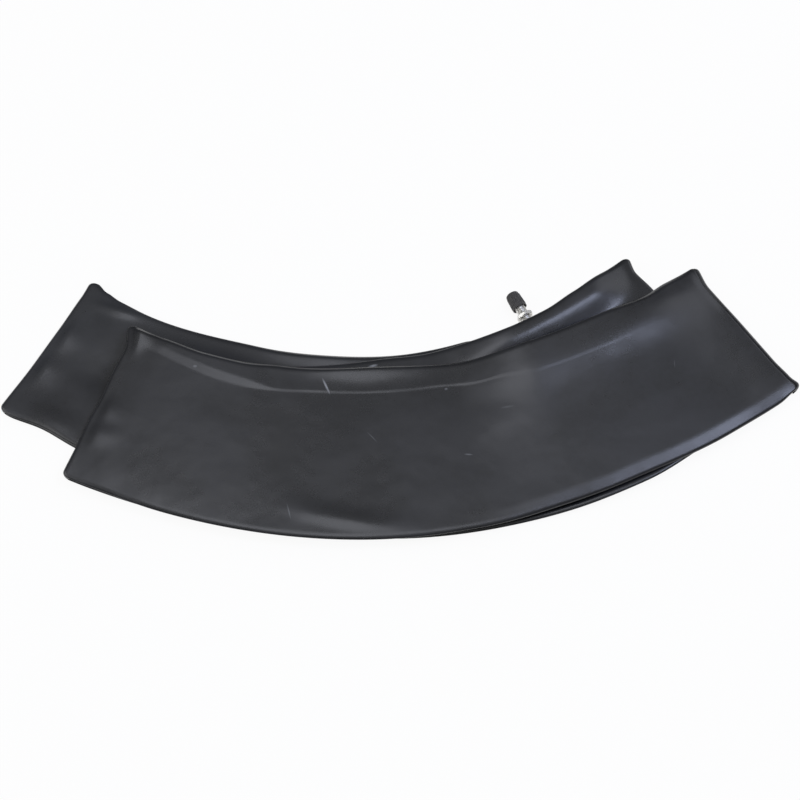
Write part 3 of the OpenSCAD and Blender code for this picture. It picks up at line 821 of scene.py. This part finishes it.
class TUBE_OT_stage(bpy.types.Operator):
    """Makes the camera, the floor, the lamps and the world"""
    bl_idname = "tube.stage"
    bl_label = "Stage"

    # Share of the floor's look that shines by itself, and half the floor's width in metres
    FLOOR_GLOW, FLOOR_HALF = 0.93, 20.0

    def execute(self, context):
        settings = context.scene.stage_settings
        self.camera(settings)
        self.floor(settings)
        self.world(context)
        # Name, place, size, strength and colour; each lamp is turned towards the bundle
        lamps = (
            ("panel_above", (-0.2, 0.04, 2.2), 1.1, 7.6, "#f2f5ff"),
            ("panel_right", (1.12, 0.06, 2.05), 0.82, 14.0, "#d6e0ff"),
            ("fill_left", (-1.75, -0.3, 1.3), 1.6, 14.0, "#ffffff"),
            ("fill_right", (1.5, 1.2, 1.25), 1.6, 9.0, "#f2f5ff"),
        )
        for name, place, size, watts, colour in lamps:
            lamp = bpy.data.lights.new(name, "AREA")
            lamp.shape = "DISK"
            lamp.size, lamp.energy, lamp.color = size, watts, linear(colour)[:3]
            put(name, lamp, place, place)
        context.scene.view_settings.view_transform = "Standard"
        return {"FINISHED"}

    def camera(self, settings):
        """The camera looks down at the middle of the bundle's foot, with no shift."""
        camera = bpy.data.cameras.new("camera")
        camera.lens, camera.sensor_width = settings.lens_mm, 36.0
        camera.clip_start, camera.clip_end = 0.1, 60.0
        back = Vector((0, -math.cos(settings.elevation), math.sin(settings.elevation)))
        place = Vector((0, 0.0005, 0)) + back * settings.distance
        bpy.context.scene.camera = put("camera", camera, place, back)

    def floor(self, settings):
        """A matt floor that the camera sees as near white, with the object's own shadow."""
        material = bpy.data.materials.new("painted board, matt")
        material.use_nodes = True
        tree = material.node_tree
        tree.nodes.clear()
        colour = linear(settings.floor)
        board = add_node(tree, "ShaderNodeBsdfDiffuse", {"Color": colour}).outputs[0]
        white = add_node(tree, "ShaderNodeEmission", {"Color": (1, 1, 1, 1)}).outputs[0]
        path = add_node(tree, "ShaderNodeLightPath").outputs
        seen = path["Is Camera Ray"]
        for operation, term in (("MAXIMUM", path["Is Glossy Ray"]),
                                ("MAXIMUM", path["Is Transmission Ray"]),
                                ("MULTIPLY", self.FLOOR_GLOW)):
            seen = add_node(tree, "ShaderNodeMath", {0: seen, 1: term},
                            operation=operation).outputs[0]
        both = add_node(tree, "ShaderNodeMixShader", {0: seen, 1: board, 2: white}).outputs[0]
        add_node(tree, "ShaderNodeOutputMaterial", {"Surface": both})
        half = self.FLOOR_HALF
        mesh = bpy.data.meshes.new("floor")
        mesh.from_pydata([(-half, -half, 0), (half, -half, 0), (half, half, 0), (-half, half, 0)],
                         [], [(0, 1, 2, 3)])
        mesh.materials.append(material)
        floor = put("floor", mesh)

    def world(self, context):
        """A room's light: even up to 37 degrees above the horizon, then growing to overhead."""
        world = bpy.data.worlds.new("studio")
        context.scene.world = world
        world.use_nodes = True
        tree = world.node_tree
        tree.nodes.clear()
        way = add_node(tree, "ShaderNodeTexCoord").outputs["Generated"]
        height = add_node(tree, "ShaderNodeSeparateXYZ", {0: way}).outputs["Z"]
        strength = add_node(tree, "ShaderNodeMapRange", {
            "Value": height, "From Min": 0.6, "From Max": 1.0, "To Min": 0.18, "To Max": 0.57
        }, interpolation_type="SMOOTHSTEP").outputs[0]
        light = add_node(tree, "ShaderNodeBackground",
                         {"Color": (1, 1, 1, 1), "Strength": strength}).outputs[0]
        add_node(tree, "ShaderNodeOutputWorld", {"Surface": light})


class TUBE_OT_skin(bpy.types.Operator):
    """Makes the folded rubber skin"""
    bl_idname = "tube.skin"
    bl_label = "Rubber skin"

    def execute(self, context):
        settings = context.scene.tube_settings
        points, uv = TubeForm(settings).surface()
        piece = grid_piece("rubber_skin", points, butyl_rubber(settings), "tube", "tube_rubber", uv)
        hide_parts("tube_body")
        dress("valve_base", plain_rubber("rubber, compression moulded", "#232425"))
        return {"FINISHED"}


class TUBE_OT_stem(bpy.types.Operator):
    """Makes the threaded stem, its washer's finish and both nuts"""
    bl_idname = "tube.stem"
    bl_label = "Stem and nuts"

    # The flange's thickness, the stem's radius, the chamfer at its mouth, and its bores from the
    # mouth down, as radius and depth; the last one goes right through
    FLANGE_T, STEM_R, CHAMFER = 1.2, 3.85, 0.5
    BORES = ((2.65, 8.3), (2.3, 22.5), (1.6, 99.0))
    # How far above the stem's foot its thread begins, the lengths over which it deepens from there
    # and fades to the mouth, and the share of it that is left at the mouth
    THREAD_FROM, THREAD_IN, THREAD_OUT, MOUTH_SHARE = 3.5, 1.0, 0.9, 0.4
    # The chamfer and thread of the nuts' bore, how far inside the flats the cone that bevels the
    # corners begins, its slope, and the flat on each corner
    BORE_CHAMFER, BORE_THREAD = 0.25, 0.3
    CONE_INSET, CONE_SLOPE, CORNER_FLAT = 0.12, 1.7, 0.08

    def execute(self, context):
        valve = ValveForm(context.scene.valve_settings)
        self.stem(valve)
        self.nut(valve, "base_nut", "tube")
        self.nut(valve, "rim_nut", "rim_nut")
        dress("base_washer", satin("nickel"))
        return {"FINISHED"}

    def stem(self, valve):
        """A closed turned profile whose outside, above the base nut's seat, is cut by a thread:
        the stem's radius less the thread's depth times the thread wave."""
        low, high, flange_r = valve.span("valve_stem")
        corners = [(self.BORES[-1][0], low), (flange_r, low), (flange_r, low + self.FLANGE_T),
                   (self.STEM_R, low + self.FLANGE_T), (self.STEM_R, high - self.CHAMFER),
                   (self.STEM_R - self.CHAMFER, high)]
        top = high
        for bore, depth in self.BORES:
            floor = max(high - depth, low)
            corners += [(bore, top), (bore, floor)]
            top = floor
        profile = path_points(corners, valve.pitch / 10)
        angle = once_round(64)
        r, z = profile[:-1, :1], profile[:-1, 1:]
        run_in = ease((z - low - self.THREAD_FROM) / self.THREAD_IN)
        run_out = ease((high - z) / self.THREAD_OUT + self.MOUTH_SHARE)
        cut = (np.abs(r - self.STEM_R) < TOUCH) * run_in * run_out
        r = r - cut * valve.depth * valve.thread(angle, z)
        piece = valve.turned("stem", r, angle, z, satin("nickel"), "tube", "nickel_plate")
        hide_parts("valve_stem")

    def nut(self, valve, node, body):
        """A closed profile round the axis. Outside, the radius is half the width across the flats
        over the cosine of the angle from a flat's middle, and no more than the bevelling cone's."""
        low, high, corner_r = valve.span(node)
        flat = corner_r * math.cos(math.pi / 6)
        wide = BORE + self.BORE_CHAMFER
        heights = np.linspace(low, high, 13)
        outside = np.stack([np.full_like(heights, corner_r), heights], -1)
        inside = path_points([(BORE, high - self.BORE_CHAMFER),
                              (BORE, low + self.BORE_CHAMFER)], valve.pitch / 8)
        profile = np.concatenate([outside, [(wide, high)], inside, [(wide, low)]])
        angle = once_round(96)
        edge, z = profile[:, :1], profile[:, 1:]
        hexagon = flat / np.cos((angle + np.pi / 6) % (np.pi / 3) - np.pi / 6)
        cone = flat - self.CONE_INSET + self.CONE_SLOPE * np.minimum(z - low, high - z)
        outer = np.minimum(np.minimum(hexagon, corner_r - self.CORNER_FLAT), cone)
        r = np.where(edge > corner_r - TOUCH, outer, edge)
        r = r + (np.abs(edge - BORE) < TOUCH) * self.BORE_THREAD * valve.thread(angle, z)
        piece = valve.turned(node + "_hex", r, angle, z, satin("nickel"), body, "nickel_plate")
        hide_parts(node)


class TUBE_OT_core(bpy.types.Operator):
    """Gives the core's turned pieces their finish and winds its spring"""
    bl_idname = "tube.core"
    bl_label = "Valve core"

    # The spring's turns and the steps to each, the wire's radius, and how much closer the turns
    # lie at both ends
    TURNS, TURN_STEPS, WIRE_R, CLOSING = 8, 28, 0.175, 0.08

    def execute(self, context):
        valve = ValveForm(context.scene.valve_settings)
        for node in ("core_plug", "core_barrel", "core_pin", "core_cup"):
            dress(node, satin("brass"))
        dress("core_ring", plain_rubber("rubber, red seal", "#8c2f25"))
        dress("core_cup_seal", plain_rubber("rubber, black seal", "#1d1d1f"))
        self.spring(valve)
        return {"FINISHED"}

    def spring(self, valve):
        """Round wire along a helix: at a share x of the turns it has climbed the share
        x - closing * sin(2 pi x) / pi, so the turns lie closer at both ends."""
        low, high, radius = valve.span("core_spring")
        share = np.linspace(0, 1, self.TURNS * self.TURN_STEPS + 1)[:, None]
        turn = 2 * np.pi * self.TURNS * share
        climb = share - self.CLOSING * np.sin(2 * np.pi * share) / np.pi
        height = mix(low + self.WIRE_R, high - self.WIRE_R, climb)
        round_wire = once_round(12)
        r = radius - self.WIRE_R + self.WIRE_R * np.cos(round_wire)
        z = height + self.WIRE_R * np.sin(round_wire)
        points = valve.place(r + 0 * turn, turn + 0 * r, z)
        ends = points[[0, -1]].mean(1)[:, None] + 0 * points[[0, -1]]
        points = np.concatenate([ends[:1], points, ends[1:]])
        wire = metal("steel wire, drawn", "#b9b9b6", "#8d8d8b", 0.2)
        piece = grid_piece("core_spring_coil", points, wire, "tube", "spring_steel",
                           closed=(False, True), poles=True)
        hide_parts("core_spring")
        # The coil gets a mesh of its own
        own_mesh(piece)


class TUBE_OT_cap(bpy.types.Operator):
    """Makes the ribbed cap and gives its gasket a finish"""
    bl_idname = "tube.cap"
    bl_label = "Cap"

    # Outside: radii at the mouth and at the dome's shoulder, the dome's rounding, the lip's chamfer
    MOUTH_R, SHOULDER_R, DOME, LIP = 5.5, 4.9, 1.6, 0.35
    # Inside: depth of the thread, air over the gasket, depth and radius of the skirt at the mouth
    BORE_THREAD, GASKET_AIR, SKIRT, SKIRT_R = 0.25, 0.02, 3.2, 4.8
    # The ribs: distance from the mouth and from the dome, the length over which they fade, and the
    # share of their height by which the wall between them is sunk
    RIB_FROM, RIB_TO, RIB_FADE, RIB_SINK = 1.2, 0.5, 0.7, 0.25
    PROFILE_STEP, RIB_STEPS = 0.16, 12

    def execute(self, context):
        settings = context.scene.valve_settings
        valve = ValveForm(settings)
        low, high, _ = valve.span("valve_cap")
        ceiling = valve.span("cap_gasket")[1] + self.GASKET_AIR
        dome_line = [(self.SHOULDER_R - self.DOME * (1 - math.cos(a)),
                      high - self.DOME + self.DOME * math.sin(a))
                     for a in np.linspace(0, math.pi / 2, 12)]
        corners = [
            (0.0, ceiling), (BORE, ceiling),
            (BORE, low + self.SKIRT + self.SKIRT_R - BORE),
            (self.SKIRT_R, low + self.SKIRT), (self.SKIRT_R, low + self.LIP / 2),
            (self.SKIRT_R + self.LIP / 2, low), (self.MOUTH_R - self.LIP, low),
            (self.MOUTH_R, low + self.LIP), *dome_line, (0.0, high),
        ]
        profile = path_points(corners, self.PROFILE_STEP)
        angle = once_round(self.RIB_STEPS * settings.cap_ribs)
        edge, z = profile[:, :1], profile[:, 1:]
        outer = np.arange(len(profile))[:, None] > np.argmin(
            np.hypot(profile[:, 0] - self.MOUTH_R, profile[:, 1] - low - self.LIP))
        zone = outer * ease((z - low - self.RIB_FROM) / self.RIB_FADE)
        zone = zone * ease((high - self.DOME - self.RIB_TO - z) / self.RIB_FADE)
        ribs = (0.5 + 0.5 * np.cos(settings.cap_ribs * angle)) ** 2 - self.RIB_SINK
        threaded = (np.abs(edge - BORE) < TOUCH) & ~outer
        r = edge + zone * ribs * millimetres(settings, "rib_height")
        r = r + threaded * self.BORE_THREAD * valve.thread(angle, z)
        piece = valve.turned("cap_shell", r, angle, z, moulded_plastic(settings), "cap",
                             "cap_plastic", closed=(False, True), poles=True)
        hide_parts("valve_cap")
        dress("cap_gasket", plain_rubber("rubber, gasket", "#2a2a2c"))
        return {"FINISHED"}


class TUBE_PT_panel(bpy.types.Panel):
    """Lists the pieces and their settings"""
    bl_label = "Inner tube"
    bl_space_type = "VIEW_3D"
    bl_region_type = "UI"
    bl_category = "Inner tube"

    def draw(self, context):
        for kind in OPERATORS:
            self.layout.operator(kind.bl_idname)
        for name in SETTINGS:
            group = getattr(context.scene, name)
            box = self.layout.box()
            for key in type(group).__annotations__:
                box.prop(group, key)


SETTINGS = {
    "tube_settings": TubeSettings,
    "valve_settings": ValveSettings,
    "stage_settings": StageSettings,
}
OPERATORS = (TUBE_OT_stage, TUBE_OT_skin, TUBE_OT_stem, TUBE_OT_core, TUBE_OT_cap)


def register():
    for group in SETTINGS.values():
        bpy.utils.register_class(group)
    for name, group in SETTINGS.items():
        setattr(bpy.types.Scene, name, bpy.props.PointerProperty(type=group))
    for kind in OPERATORS + (TUBE_PT_panel,):
        bpy.utils.register_class(kind)


def unregister():
    for kind in (TUBE_PT_panel,) + OPERATORS[::-1]:
        bpy.utils.unregister_class(kind)
    for name, group in SETTINGS.items():
        delattr(bpy.types.Scene, name)
        bpy.utils.unregister_class(group)


def main():
    register()
    bpy.ops.tube.stage()
    bpy.ops.tube.skin()
    bpy.ops.tube.stem()
    bpy.ops.tube.core()
    bpy.ops.tube.cap()


if __name__ == "__main__":
    main()
